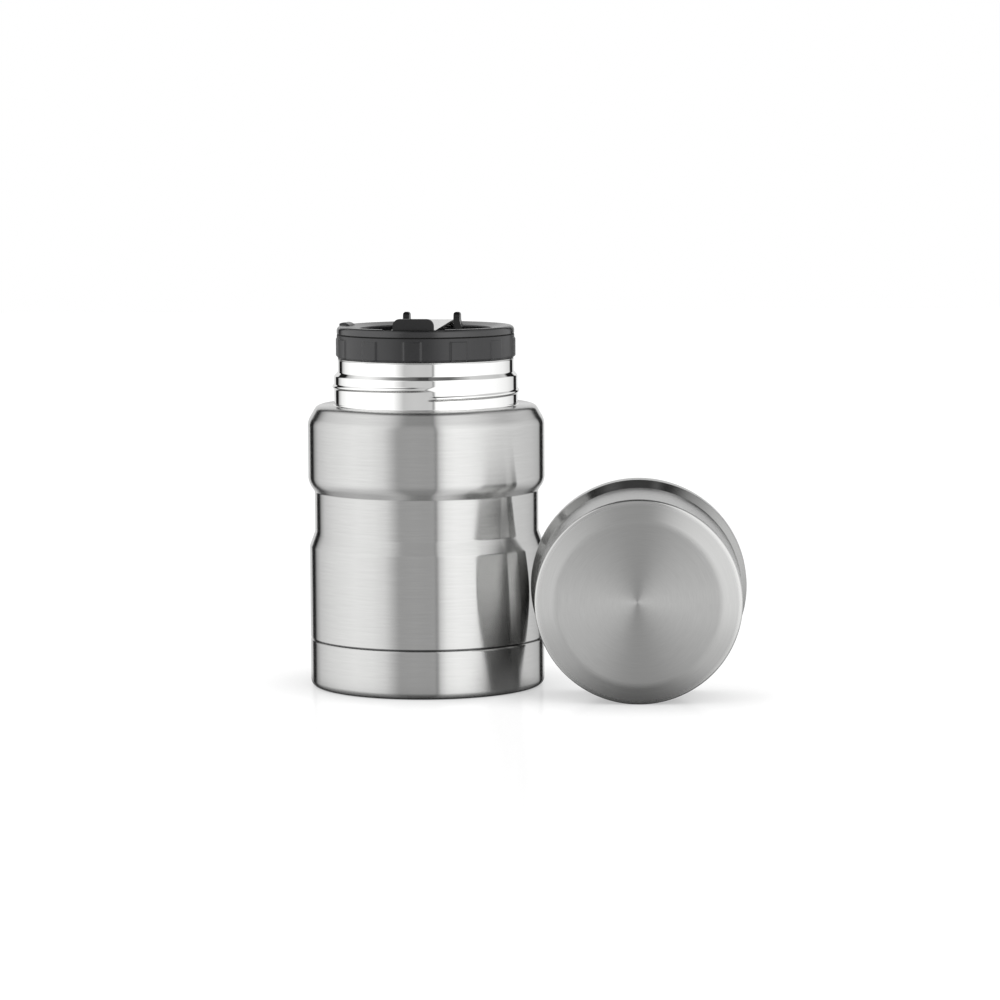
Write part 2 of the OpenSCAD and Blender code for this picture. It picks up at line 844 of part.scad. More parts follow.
module handle_tab() {
    color("black")
        at_pin()
            difference() {
                union() {
                    translate([0, -handle_l, tab_low])
                        rotate([90, 0, 0])
                            linear_extrude(height = tab_t)
                                polygon(outline([
                                    [-tab_w / 2, 0, tab_edge_r],
                                    [tab_w / 2, 0, tab_edge_r],
                                    [tab_w / 2, tab_h, tab_r],
                                    [-tab_w / 2, tab_h, tab_r]]));
                    translate([tab_foot_in - tab_w / 2, -handle_l, knuckle_r])
                        cube([tab_w - tab_foot_in * 2, tab_foot, tab_foot_t]);
                }
                tab_rivet_places()
                    translate([0, 0, knuckle_r - over])
                        cylinder(r = rivet_r, h = tab_foot_t + over * 2);
            }
}

module tab_rivets() {
    color("silver")
        at_pin()
            tab_rivet_places() {
                translate([0, 0, knuckle_r - handle_t])
                    cylinder(r = rivet_r, h = handle_t + tab_foot_t);
                translate([0, 0, knuckle_r + tab_foot_t])
                    cylinder(r = rivet_head_r, h = rivet_head_t);
            }
}

// Lays the cup, built with its rim down on Z = 0, on its side.
module lying_cup() {
    translate([cup_x, -cup_front, cup_rise])
        rotate([90 + cup_tilt, 0, cup_turn])
            children();
}

// Side of the cup from the rim to its straight body, moved inwards by t.
function cup_side(t) = [
    [cup_rim_r - t, cup_rim_h, cup_rim_round],
    [cup_r - t, cup_rim_h + cup_step_h, cup_body_round]];

// Edge, sloping band and flat of the cup's closed end, moved inwards by t.
function cup_end(t) = [
    [cup_r - t, cup_slope_z - t * tan(45 - cup_slope_lean / 2), cup_corner_r - t],
    [cup_flat_r - t * tan(cup_slope_lean / 2), cup_h - t, cup_end_round - t],
    [0, cup_h - t, 0]];

module cup_shell() {
    line = [
        [cup_r, cup_edge_h - cup_line_w / 2, 0],
        [cup_r - cup_line_deep, cup_edge_h, 0],
        [cup_r, cup_edge_h + cup_line_w / 2, 0]];
    color("silver")
        lying_cup()
            turned(concat(
                [[cup_rim_r, 0, outer_t * 0.45]],
                cup_side(0),
                line,
                cup_end(0),
                backwards(cup_end(outer_t)),
                backwards(cup_side(outer_t)),
                [[cup_rim_r - outer_t, 0, outer_t * 0.45]]));
}

module cup_liner() {
    color("darkslategray")
        lying_cup() {
            turned([
                [liner_r, liner_z, liner_edge_r],
                [liner_lip_r, liner_z, 0],
                [liner_lip_r, liner_z + liner_lip_t, 0],
                [liner_out_r, liner_z + liner_lip_t, 0],
                [liner_out_r, liner_top_z, liner_corner_r + liner_t],
                [0, liner_top_z, 0],
                [0, liner_top_z - liner_t, 0],
                [liner_r, liner_top_z - liner_t, liner_corner_r]]);
            helix(liner_r, liner_thread_z, bead_pitch, 2,
                bead_section(-liner_thread_h, bead_w, -liner_t / 2));
        }
}

module cup_pad() {
    color("ivory")
        lying_cup()
            translate([0, 0, liner_top_z + fit])
                cylinder(r = cup_flat_r - cup_end_round * tan(cup_slope_lean / 2), h = pad_t);
}

outer_shell();
base_cup();
inner_vessel();
vessel_bottom();
vacuum_plate();
seal_bead();
getter();
foil_wrap();
stopper_body();
stopper_tray();
stopper_foam();
plug_seal();
spoon_bowl();
spoon_yoke();
hinge_pin();
yoke_rivets();
spoon_handle();
handle_tab();
tab_rivets();
cup_shell();
cup_liner();
cup_pad();
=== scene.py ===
"""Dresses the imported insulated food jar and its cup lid, and builds the studio round them."""

import math

import bpy
import numpy as np
from bpy.props import FloatProperty, FloatVectorProperty, IntProperty, PointerProperty
from mathutils import Matrix


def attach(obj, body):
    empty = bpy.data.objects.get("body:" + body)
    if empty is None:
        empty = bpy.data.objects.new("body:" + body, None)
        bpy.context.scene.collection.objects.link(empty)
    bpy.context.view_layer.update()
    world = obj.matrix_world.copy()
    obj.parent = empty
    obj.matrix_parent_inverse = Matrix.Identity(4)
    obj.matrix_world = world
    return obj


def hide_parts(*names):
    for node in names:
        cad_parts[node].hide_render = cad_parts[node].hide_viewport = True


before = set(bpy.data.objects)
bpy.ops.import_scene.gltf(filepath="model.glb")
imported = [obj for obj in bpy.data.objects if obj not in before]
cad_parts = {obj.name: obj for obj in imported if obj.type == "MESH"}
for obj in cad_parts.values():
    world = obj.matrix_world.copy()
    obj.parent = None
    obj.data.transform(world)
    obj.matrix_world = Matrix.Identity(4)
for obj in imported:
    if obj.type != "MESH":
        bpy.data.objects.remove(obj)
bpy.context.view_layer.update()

bl_info = {
    "name": "Insulated food jar",
    "version": (1, 0, 0),
    "blender": (4, 5, 0),
    "location": "View3D > Sidebar > Food jar",
    "description": "Steel food jar with a screw-in stopper, a folding spoon and a cup lid",
    "category": "Object",
}

MM = 0.001
TURN = 2 * math.pi

# Points within the first of each other are one; a point within the second is on a face.
SAME = 1e-9
CLOSE = 1e-6

# Columns round each piece, enough that its outline shows no corners.
WALL_COLUMNS = 256
NECK_COLUMNS = 448
CUP_COLUMNS = 320


# ---------------------------------------------------------------- settings


def linear(code):
    """Linear RGB of an sRGB hex code, by the standard's own curve."""
    parts = np.array([int(code[i : i + 2], 16) for i in (0, 2, 4)]) / 255
    curve = np.where(parts <= 0.04045, parts / 12.92, ((parts + 0.055) / 1.055) ** 2.4)
    return tuple(float(v) for v in curve)


def length(name, description, default):
    """A length in metres that a user may change, given in millimetres."""
    return FloatProperty(
        name=name, description=description, default=default * MM, min=0.0, unit="LENGTH"
    )


def turning(name, description, default):
    """An angle that a user may change, given in degrees."""
    return FloatProperty(
        name=name, description=description, default=math.radians(default), unit="ROTATION"
    )


def colour(name, description, code):
    """A colour that a user may change, given as an sRGB hex code."""
    return FloatVectorProperty(
        name=name,
        description=description,
        subtype="COLOR",
        size=3,
        min=0.0,
        max=1.0,
        default=linear(code),
    )


class JarSettings(bpy.types.PropertyGroup):
    """Sizes and colours of the jar's steel."""

    bulge_r: length("Bulge radius", "Radius of the bulge under the shoulder", 48.5)
    waist_in: length("Waist depth", "How far the waist lies inside the bulge", 2.6)
    lower_in: length("Lower body depth", "How far the lower body lies inside the bulge", 0.4)
    shoulder_in: length("Shoulder width", "Width of the shoulder's slope", 3.7)
    groove_z: length("Roll line height", "Height of the line between base and body", 20.1)
    lower_top_z: length("Lower body top", "Height where the lower body turns in", 57.7)
    waist_z: length("Waist bottom", "Height where the waist begins", 63.7)
    waist_top_z: length("Waist top", "Height where the waist ends", 80.2)
    bulge_z: length("Bulge bottom", "Height where the bulge begins", 84.1)
    bulge_top_z: length("Bulge top", "Height where the shoulder's slope begins", 109)
    shoulder_z: length("Shoulder height", "Height of the shoulder's top", 115.5)
    foot_round: length("Foot rounding", "Rounding of the base's lower edge", 2.6)
    wall: length("Wall", "Thickness of the outer steel", 0.6)
    neck_r: length("Neck radius", "Radius of the threaded part of the neck", 37.55)
    neck_step_in: length("Neck step", "How far the neck's top lies inside the thread", 1.55)
    neck_step_z: length("Neck step height", "Height where the neck steps in", 127.4)
    mouth_z: length("Mouth height", "Height of the jar's mouth", 134.6)
    bead_h: length("Bead height", "Height of the thread bead over the neck", 0.75)
    bead_w: length("Bead width", "Width of the thread bead at its foot", 2.6)
    bead_pitch: length("Bead rise", "Rise of the thread bead in one turn", 3.8)
    bead_z: length("Bead start", "Height of the middle of the bead at its start", 120.2)
    steel: colour("Brushed steel", "Light tone of the brushed steel", "C4C4C3")
    steel_deep: colour("Brushed steel, deep", "Dark tone between the scratches", "BBBBBA")
    polish: colour("Polished steel", "Tone of the polished neck", "F3F3F2")


class StopperSettings(bpy.types.PropertyGroup):
    """Sizes and colours of the stopper."""

    turn: turning("Turn", "Turn of the screwed-in stopper, seen from above", -7.5)
    ring_r: length("Ring radius", "Radius of the grip ring", 36.35)
    plug_r: length("Plug radius", "Radius of the plug in the mouth", 33.4)
    plug_z: length("Plug bottom", "Height of the plug's underside", 112.6)
    split_z: length("Parting line", "Height of the line between ring and flange", 144.5)
    pads: IntProperty(name="Pads", description="Number of grip pads", default=12, min=3)
    pad_w: length("Pad width", "Width of a grip pad", 7)
    pad_out: length("Pad height", "Height of the pads over the ring", 0.5)
    pad_z: length("Pad bottom", "Height of the pads' lower edge", 134.5)
    pad_top_z: length("Pad top", "Height of the pads' upper edge", 142.95)
    plastic: colour("Dark plastic", "Dark grey of the stopper's mouldings", "1C1C1E")
    tab: colour("Tab plastic", "Near black of the finger tab", "171718")
    black: colour("Black plastic", "Black of the hinge's ears", "09090A")
    silicone: colour("Silicone", "Milky grey of the seal", "B9BBBA")
    foam: colour("Foam", "Cream of the insulating foam", "E6DFC8")


class CupSettings(bpy.types.PropertyGroup):
    """Sizes, place and colours of the cup lid."""

    rim_r: length("Rim radius", "Radius of the rim band", 43.6)
    body_r: length("Body radius", "Radius of the cup's body", 41.25)
    rim_h: length("Rim height", "Height of the straight rim band", 5)
    step_h: length("Step height", "Height of the step in to the body", 6.5)
    line_z: length("Line height", "Height from the rim to the line round the end", 38.7)
    corner_r: length("Edge rounding", "Rounding of the closed end's edge", 1)
    slope_w: length("Sloping band", "Width of the sloping band round the closed end", 8.2)
    slope_lean: turning("Slope", "Slope of the band round the closed end", 20)
    slope_r: length("Slope rounding", "Rounding from the sloping band to the flat", 7.8)
    turned_up: length("Brushing, up", "How far the brushing's middle lies above the end's", 0.8)
    turned_left: length("Brushing, left", "How far it lies to the left of the end's", 0.48)
    wall: length("Wall", "Thickness of the cup's steel", 0.6)
    right: length("Right", "How far the rim's centre lies to the right of the jar", 86.180)
    front: length("Front", "How far the rim's centre lies in front of the jar's", 24.8)
    rise: length("Rise", "Height of the rim's centre above the floor", 43.820)
    tilt: turning("Tilt", "Fall of the cup's closed end", 3.895)
    turn: turning("Turn", "Turn of the cup's closed end, seen from above", -2.1)
    liner: colour("Liner plastic", "Dark grey of the cup's liner", "2E2E30")


class StudioSettings(bpy.types.PropertyGroup):
    """Light, floor and camera."""

    light: FloatProperty(
        name="Light", description="Strength of the studio's panels", default=1.0, min=0.0
    )
    floor: colour("Floor", "Colour of the pale floor", "ECECEC")
    focal: FloatProperty(
        name="Focal length",
        description="Focal length of the camera, on its 36 mm sensor",
        default=137.79,
        unit="CAMERA",
    )
    right: length("Camera right", "How far the camera stands right of the jar", 30.13)
    back: length("Camera back", "How far the camera stands in front of the jar", 1565.9)
    up: length("Camera up", "Height of the camera over the floor", 233.45)
    down: turning("Camera down", "How far the camera looks down", 5.75)
    roll: turning("Camera roll", "How far the camera is turned about its view", -0.305)


# ---------------------------------------------------------------- shapes


def rounded(corners, steps=10, shoulder=0.3 * MM):
    """Outline through (x, y, rounding) corners, open at its ends. Each corner is an arc
    tangent to both its sides: its centre lies on their bisector at rounding / sin(half
    the angle between them). Each long straight gets a point near both ends, which keeps
    the shading of the arcs off it."""
    flat = np.array([c[:2] for c in corners], float)
    nearly_straight = math.radians(89.9)
    points = [flat[0]]
    for before, here, after, (_, _, radius) in zip(flat, flat[1:], flat[2:], corners[1:]):
        to_before, to_after = before - here, after - here
        to_before = to_before / np.linalg.norm(to_before)
        to_after = to_after / np.linalg.norm(to_after)
        half = math.acos(np.clip(to_before @ to_after, -1, 1)) / 2
        if radius <= 0 or half > nearly_straight:
            points.append(here)
            continue
        bisector = to_before + to_after
        middle = here + bisector * radius / math.sin(half) / np.linalg.norm(bisector)
        start = here + to_before * radius / math.tan(half) - middle
        end = here + to_after * radius / math.tan(half) - middle
        swing = math.atan2(start[0] * end[1] - start[1] * end[0], start @ end)
        angles = math.atan2(start[1], start[0]) + swing * np.linspace(0, 1, steps + 1)
        points.extend(middle + radius * np.stack([np.cos(angles), np.sin(angles)], 1))
    points.append(flat[-1])
    outline = [points[0]]
    for here, after in zip(points, points[1:]):
        run = np.linalg.norm(after - here)
        if run > shoulder * 4:
            along = (after - here) / run * shoulder
            outline.extend([here + along, after - along])
        if run > SAME:
            outline.append(after)
    return np.array(outline)


def running(points):
    """Distance run along a line of points, from its first."""
    steps = np.linalg.norm(np.diff(points, axis=0), axis=1)
    return np.concatenate([[0], np.cumsum(steps)])


def surface(name, grid, u, v=None):
    """A closed mesh on a grid of points. Columns run round the piece and rows along its
    outline, and both close on themselves. A row that has shrunk to one point becomes a
    fan. The map Surface holds u round the piece and v along its outline, in metres."""
    rows, columns = grid.shape[:2]
    index = np.arange(rows * columns).reshape(rows, columns)
    pole = np.ptp(grid, axis=1).max(axis=1) < SAME
    index[pole] = index[pole][:, :1]
    above, beside = np.roll(index, -1, axis=0), np.roll(index, -1, axis=1)
    corners = np.stack([index, beside, np.roll(above, -1, axis=1), above], -1)
    v = running(grid[:, 0]) if v is None else v
    v = np.append(v, v[-1] + np.linalg.norm(grid[0, 0] - grid[-1, 0]))[:, None]
    near_u, next_u = (np.broadcast_to(part, index.shape) for part in (u[:-1], u[1:]))
    near_v, next_v = (np.broadcast_to(part, index.shape) for part in (v[:-1], v[1:]))
    places = np.stack([near_u, near_v, next_u, near_v, next_u, next_v, near_u, next_v], -1)
    places = places.reshape(rows, columns, 4, 2)
    low, high = pole, np.roll(pole, -1)
    kinds = [
        (~low & ~high, [0, 1, 2, 3]),
        (low & ~high, [0, 2, 3]),
        (high & ~low, [0, 1, 2]),
    ]
    parts = [(corners[at][..., used], places[at][..., used, :]) for at, used in kinds]
    used, packed = np.unique(
        np.concatenate([faces.reshape(-1) for faces, _ in parts]), return_inverse=True
    )
    faces, begin = [], 0
    for part, _ in parts:
        block = packed[begin : begin + part.size].reshape(-1, part.shape[-1])
        faces.extend(block.tolist())
        begin += part.size
    mesh = bpy.data.meshes.new(name)
    mesh.from_pydata(grid.reshape(-1, 3)[used].tolist(), [], faces)
    layer = mesh.uv_layers.new(name="Surface")
    layer.data.foreach_set("uv", np.concatenate([p.reshape(-1) for _, p in parts]))
    mesh.polygons.foreach_set("use_smooth", np.ones(len(mesh.polygons), bool))
    mesh.validate()
    mesh.update()
    return mesh


def evenly(columns):
    """The angles of that many columns in equal steps round Z."""
    return np.arange(columns) / columns * TURN


def around(outline, angles):
    """An outline of (r, z) carried round Z to each of the angles. An outline that rises
    with the steel on its left gives faces that point outwards."""
    ring = np.stack([np.cos(angles), np.sin(angles)], -1)
    flat = outline[:, None, :1] * ring[None]
    height = np.broadcast_to(outline[:, None, 1:], flat.shape[:2] + (1,))
    return np.concatenate([flat, height], -1)


def girth(angles, radius):
    """Distance round a piece of that radius at each of the angles and at the whole turn."""
    return np.append(angles, TURN) * radius


def eased(share):
    """The smooth rise 3 s^2 - 2 s^3 of a share s, which is held between nought and one."""
    share = np.clip(share, 0, 1)
    return share**2 * (3 - 2 * share)


def hump(off):
    """The raised cosine 0.5 + 0.5 cos(pi off): one in the middle, nought from one on."""
    return np.where(np.abs(off) < 1, 0.5 + 0.5 * np.cos(math.pi * off), 0)


def moved(grid, place):
    """The grid's points carried by a 4 x 4 place."""
    turn, shift = np.array(place.to_3x3()), np.array(place.translation)
    return grid @ turn.T + shift


def piece(name, mesh, body, slot, material, *nodes):
    """Puts a finished mesh in the scene, on its body, in place of its solids."""
    made = bpy.data.objects.new(name, mesh)
    bpy.context.scene.collection.objects.link(made)
    mesh.materials.append(material)
    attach(made, body)
    if nodes:
        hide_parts(*nodes)
    return made


# ---------------------------------------------------------------- materials


def add(tree, kind, inputs=None, stops=None, **settings):
    """Adds a node, with its settings, its inputs as constants or as other sockets, and a
    colour ramp's stops as (place, colour)."""
    node = tree.nodes.new(kind)
    for key, value in settings.items():
        setattr(node, key, value)
    live = {s.name: s for s in reversed(node.inputs) if s.enabled}
    for key, value in (inputs or {}).items():
        socket = live[key] if key in live else node.inputs[key]
        if isinstance(value, bpy.types.NodeSocket):
            tree.links.new(value, socket)
        else:
            socket.default_value = value
    if stops:
        first, last = node.color_ramp.elements
        first.position, first.color = stops[0][0], (*stops[0][1], 1)
        last.position, last.color = stops[-1][0], (*stops[-1][1], 1)
        for place, tone in stops[1:-1]:
            node.color_ramp.elements.new(place).color = (*tone, 1)
    return node


def grey(value):
    """An even grey of that linear brightness, as a node takes it."""
    return value, value, value, 1


def emptied(made):
    """The node tree of a new material or world, without its first nodes."""
    made.use_nodes = True
    made.node_tree.nodes.clear()
    return made.node_tree


def finish(name, base, **constants):
    """A material of that name with its shader's constant inputs set. Gives the material,
    its nodes and its shader."""
    made = bpy.data.materials.new(name)
    tree = emptied(made)
    shader = add(tree, "ShaderNodeBsdfPrincipled", {"Base Color": (*base, 1)})
    for key, value in constants.items():
        shader.inputs[key.replace("_", " ")].default_value = value
    add(tree, "ShaderNodeOutputMaterial", {"Surface": shader.outputs[0]})
    return made, tree, shader


def between(tree, place, heights):
    """One where the place's height lies between the two heights, and nought elsewhere."""
    low, high = heights
    height = add(tree, "ShaderNodeSeparateXYZ", {0: place}).outputs[2]
    middle, reach = (low + high) / 2, (high - low) / 2
    inside = add(tree, "ShaderNodeMath", {0: height, 1: middle, 2: reach}, operation="COMPARE")
    return inside.outputs[0]


# Painted shade: the grey drawn in the roll line's crease, and the black inside a joint, where
# no light reaches.
ROLL_LINE_SHADE = (*linear("646464"), 1)
JOINT = grey(0.0005)


def brushed_steel(name, light, deep, roughness, end=None, seam=None):
    """Stainless steel brushed with an abrasive belt while it turned. The scratches run
    round the piece, so a light spreads across them into a band along the axis, and faint
    streaks show round the piece, up to 7 per cent smoother or rougher than the rest. Real
    scratches are about 0.05 mm apart; they are drawn 0.3 mm apart, because finer ones
    don't show. The end gives (v, v, roughness): between those places on the map the
    finish changes to the coarser circles of a closed end. The seam gives the heights of a
    roll line, whose crease is painted a flat grey there: painted shade."""
    made, tree, shader = finish(
        name, light, Metallic=1.0, Anisotropic=1.0, Anisotropic_Rotation=0.25
    )
    place = add(tree, "ShaderNodeUVMap", uv_map="Surface").outputs["UV"]
    streaks = []
    for run, across in ((11 * MM, 0.3 * MM), (50 * MM, 1.1 * MM)):
        mapped = add(
            tree, "ShaderNodeMapping", {"Vector": place, "Scale": (1 / run, 1 / across, 1)}
        )
        noise = add(
            tree,
            "ShaderNodeTexNoise",
            {"Vector": mapped.outputs[0], "Scale": 1.0, "Detail": 2.0, "Roughness": 0.6},
        )
        streaks.append(noise.outputs[0])
    both = add(tree, "ShaderNodeMix", {"Factor": 0.3, "A": streaks[0], "B": streaks[1]})
    tone = add(
        tree, "ShaderNodeValToRGB", {"Fac": both.outputs[0]}, [(0.3, deep), (0.7, light)]
    ).outputs[0]
    smooth = roughness
    if end:
        along = add(tree, "ShaderNodeSeparateXYZ", {0: place}).outputs[1]
        values = {"Value": along, "From Min": end[0], "From Max": end[1]}
        smooth = add(
            tree, "ShaderNodeMapRange", {**values, "To Min": roughness, "To Max": end[2]}
        ).outputs[0]
    values = {"Value": streaks[0], "From Min": 0.3, "From Max": 0.7}
    varied = add(tree, "ShaderNodeMapRange", {**values, "To Min": 0.93, "To Max": 1.07})
    spread = add(
        tree, "ShaderNodeMath", {0: varied.outputs[0], 1: smooth}, operation="MULTIPLY"
    )
    # Painted shade: between the seam's heights the tone turns a flat grey, which darkens the
    # roll line's crease.
    if seam:
        where = add(tree, "ShaderNodeTexCoord").outputs["Object"]
        tone = add(
            tree,
            "ShaderNodeMix",
            {"Factor": between(tree, where, seam), "A": tone, "B": ROLL_LINE_SHADE},
            data_type="RGBA",
        ).outputs[2]
    along = add(tree, "ShaderNodeTangent", direction_type="UV_MAP", uv_map="Surface")
    tree.links.new(tone, shader.inputs["Base Color"])
    tree.links.new(spread.outputs[0], shader.inputs["Roughness"])
    tree.links.new(along.outputs[0], shader.inputs["Tangent"])
    return made


def polished_steel(name, tone, roughness=0.045, ripple=0.02):
    """Stainless steel polished after rolling. It mirrors the studio sharply, with the
    faint waviness that rolling leaves: 260 waves to the metre, so about 4 mm each."""
    made, tree, shader = finish(name, tone, Metallic=1.0, Roughness=roughness)
    place = add(tree, "ShaderNodeTexCoord").outputs["Object"]
    noise = add(
        tree,
        "ShaderNodeTexNoise",
        {"Vector": place, "Scale": 260.0, "Detail": 1.0, "Roughness": 0.4},
    )
    bump = add(
        tree,
        "ShaderNodeBump",
        {"Height": noise.outputs[0], "Strength": ripple, "Distance": 0.4 * MM},
    )
    tree.links.new(bump.outputs[0], shader.inputs["Normal"])
    return made


def moulded(name, tone, roughness, grain=0.25 * MM, depth=0.12, sheen=0.5, seam=None):
    """Injection-moulded plastic from a spark-eroded mould. Its fine pits, a grain apart,
    soften its gloss to satin, and patches a centimetre across are a little lighter and
    duller from handling. The seam gives the heights of a joint, which stays dull and dark
    because no light reaches into it."""
    made, tree, shader = finish(name, tone, IOR=1.49, Specular_IOR_Level=sheen)
    place = add(tree, "ShaderNodeTexCoord").outputs["Object"]
    pits = add(
        tree,
        "ShaderNodeTexNoise",
        {"Vector": place, "Scale": 1 / grain, "Detail": 2.0, "Roughness": 0.6},
    )
    patches = add(
        tree, "ShaderNodeTexNoise", {"Vector": place, "Scale": 90.0, "Detail": 3.0}
    )
    values = {"Value": patches.outputs[0], "From Min": 0.3, "From Max": 0.7}
    low, high = roughness - 0.05, roughness + 0.05
    spread = add(tree, "ShaderNodeMapRange", {**values, "To Min": low, "To Max": high})
    worn = tuple(min(1.0, 1.12 * v) for v in tone)
    shade = add(
        tree, "ShaderNodeValToRGB", {"Fac": patches.outputs[0]}, [(0.35, tone), (0.65, worn)]
    ).outputs[0]
    smooth = spread.outputs[0]
    if seam:
        within = between(tree, place, seam)
        shade = add(
            tree,
            "ShaderNodeMix",
            {"Factor": within, "A": shade, "B": JOINT},
            data_type="RGBA",
        ).outputs[2]
        smooth = add(
            tree, "ShaderNodeMix", {"Factor": within, "A": smooth, "B": 1.0}
        ).outputs[0]
    bump = add(
        tree,
        "ShaderNodeBump",
        {"Height": pits.outputs[0], "Strength": depth, "Distance": 0.1 * MM},
    )
    tree.links.new(shade, shader.inputs["Base Color"])
    tree.links.new(smooth, shader.inputs["Roughness"])
    tree.links.new(bump.outputs[0], shader.inputs["Normal"])
    return made


def grained(name, tone, deep, roughness, cell, metallic=1.0):
    """Foam, foil, sintered metal and raw pressed steel: a tone that varies over cells of
    a given size, with the same cells as relief."""
    made, tree, shader = finish(name, tone, Metallic=metallic, Roughness=roughness)
    place = add(tree, "ShaderNodeTexCoord").outputs["Object"]
    cells = add(
        tree,
        "ShaderNodeTexNoise",
        {"Vector": place, "Scale": 1 / cell, "Detail": 4.0, "Roughness": 0.6},
    )
    shade = add(
        tree, "ShaderNodeValToRGB", {"Fac": cells.outputs[0]}, [(0.3, deep), (0.7, tone)]
    ).outputs[0]
    bump = add(
        tree,
        "ShaderNodeBump",
        {"Height": cells.outputs[0], "Strength": 0.3, "Distance": cell / 4},
    )
    tree.links.new(shade, shader.inputs["Base Color"])
    tree.links.new(bump.outputs[0], shader.inputs["Normal"])
    return made


def dress(material, *nodes):
    """Gives solids that keep their own shape a finished material."""
    for name in nodes:
        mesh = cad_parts[name].data
        mesh.materials.clear()
        mesh.materials.append(material)


# ---------------------------------------------------------------- the jar


# Roughness of the brushed wall, low enough that the panels' edges still show on it.
BELT_BRUSHED = 0.2
# Half the height of the roll line, and the spread of the neck's foot on the shoulder.
HALF_LINE = 0.25 * MM
FLARE = 0.5 * MM


def jar_outline(jar, inset=0.0):
    """Corners of the jar's side as (radius, height, rounding), from the roll line to the
    foot of the neck, for the outside or inset by the steel's thickness."""
    bulge = jar.bulge_r - inset
    lower = bulge - jar.lower_in
    waist = bulge - jar.waist_in
    return [
        (lower, jar.groove_z + HALF_LINE, 0),
        (lower, jar.lower_top_z, 3 * MM),
        (waist, jar.waist_z, 2.5 * MM),
        (waist, jar.waist_top_z + inset, 0.8 * MM),
        (bulge, jar.bulge_z + inset, 7.5 * MM),
        (bulge, jar.bulge_top_z, 7 * MM - inset),
        (bulge - jar.shoulder_in, jar.shoulder_z - inset, 3.2 * MM - inset),
        (jar.neck_r + FLARE, jar.shoulder_z - inset, 0),
    ]


class JAR_OT_body(bpy.types.Operator):
    """Makes the brushed outer wall with its bulge and waist"""

    bl_idname = "jar.body"
    bl_label = "Body"

    def execute(self, context):
        jar = context.scene.jar
        outer = jar_outline(jar)
        lower, low, _ = outer[0]
        rolled_edge = 0.2 * MM
        outer[0] = (lower, low, rolled_edge)
        start = (lower - jar.wall, low, 0)
        inner = [start] + jar_outline(jar, jar.wall)[1:]
        outside = rounded([start, *outer], steps=12)
        inside = rounded(inner, steps=4)[1:][::-1]
        angles = evenly(WALL_COLUMNS)
        grid = around(np.concatenate([outside, inside]), angles)
        mesh = surface("body", grid, girth(angles, jar.bulge_r))
        steel = brushed_steel(
            "Brushed stainless steel, body", jar.steel, jar.steel_deep, BELT_BRUSHED
        )
        piece("jar_body", mesh, "jar", "brushed_steel", steel, "outer_shell")
        return {"FINISHED"}


class JAR_OT_neck(bpy.types.Operator):
    """Makes the polished neck with the thread bead rolled into it"""

    bl_idname = "jar.neck"
    bl_label = "Neck"

    def execute(self, context):
        jar = context.scene.jar
        foot_r = jar.neck_r + FLARE
        foot_round, step_round, step_h = 0.45 * MM, 0.8 * MM, 1.7 * MM
        top_r = jar.neck_r - jar.neck_step_in
        top_z = jar.mouth_z - jar.wall
        outer = rounded(
            [
                (foot_r, jar.shoulder_z, 0),
                (jar.neck_r, jar.shoulder_z, foot_round),
                (jar.neck_r, jar.neck_step_z, step_round),
                (top_r, jar.neck_step_z + step_h, step_round),
                (top_r, top_z, 0),
            ],
            steps=8,
        )
        # The threaded part gets rows close enough to carry the bead.
        beside, row_h, hair = 2.2 * MM, 0.13 * MM, 0.01 * MM
        low, high = jar.bead_z - beside, jar.bead_z + jar.bead_pitch + beside
        fine = np.arange(low, high, row_h)
        threaded = np.stack([np.full_like(fine, jar.neck_r), fine], 1)
        keep = (outer[:, 1] < low - 10 * hair) | (outer[:, 1] > high)
        rows = np.concatenate([outer[keep], threaded])
        rows = rows[np.argsort(rows[:, 1], kind="stable")]
        foot = rows[:, 1] <= jar.shoulder_z + foot_round + hair
        rows[foot] = rows[foot][np.argsort(-rows[foot][:, 0], kind="stable")]
        inner = rounded(
            [
                (top_r - jar.wall, top_z, 0),
                (top_r - jar.wall, jar.neck_step_z + 1.3 * MM, step_round),
                (jar.neck_r - jar.wall, jar.neck_step_z - 0.3 * MM, step_round),
                (jar.neck_r - jar.wall, jar.shoulder_z - jar.wall, 0.3 * MM),
                (foot_r, jar.shoulder_z - jar.wall, 0),
            ],
            steps=3,
        )
        angles = evenly(NECK_COLUMNS)
        grid = around(np.concatenate([rows, inner]), angles)
        # The bead starts at the front. It is a raised cosine across, fades in and out along
        # its run, in turns, and leaves the inside plain.
        turns, fade_in, fade_out = 1.03, 0.02, 0.06
        share = (np.arctan2(grid[..., 1], grid[..., 0]) / TURN + 0.25) % 1.0
        centre = jar.bead_z + jar.bead_pitch * share
        height = np.zeros_like(share)
        for lap in (-1, 0, 1):
            across = (grid[..., 2] - centre - lap * jar.bead_pitch) / (jar.bead_w / 2)
            run = share + lap
            fade = np.clip(run / fade_in, 0, 1) * np.clip((turns - run) / fade_out, 0, 1)
            height = np.maximum(height, hump(across) * eased(fade))
        height[len(rows) :] = 0
        reach = np.linalg.norm(grid[..., :2], axis=-1)
        grid[..., :2] *= ((reach + height * jar.bead_h) / reach)[..., None]
        mesh = surface("neck", grid, girth(angles, jar.neck_r))
        steel = polished_steel("Polished stainless steel, neck", jar.polish)
        piece("jar_neck", mesh, "jar", "brushed_steel", steel, "outer_shell")
        return {"FINISHED"}


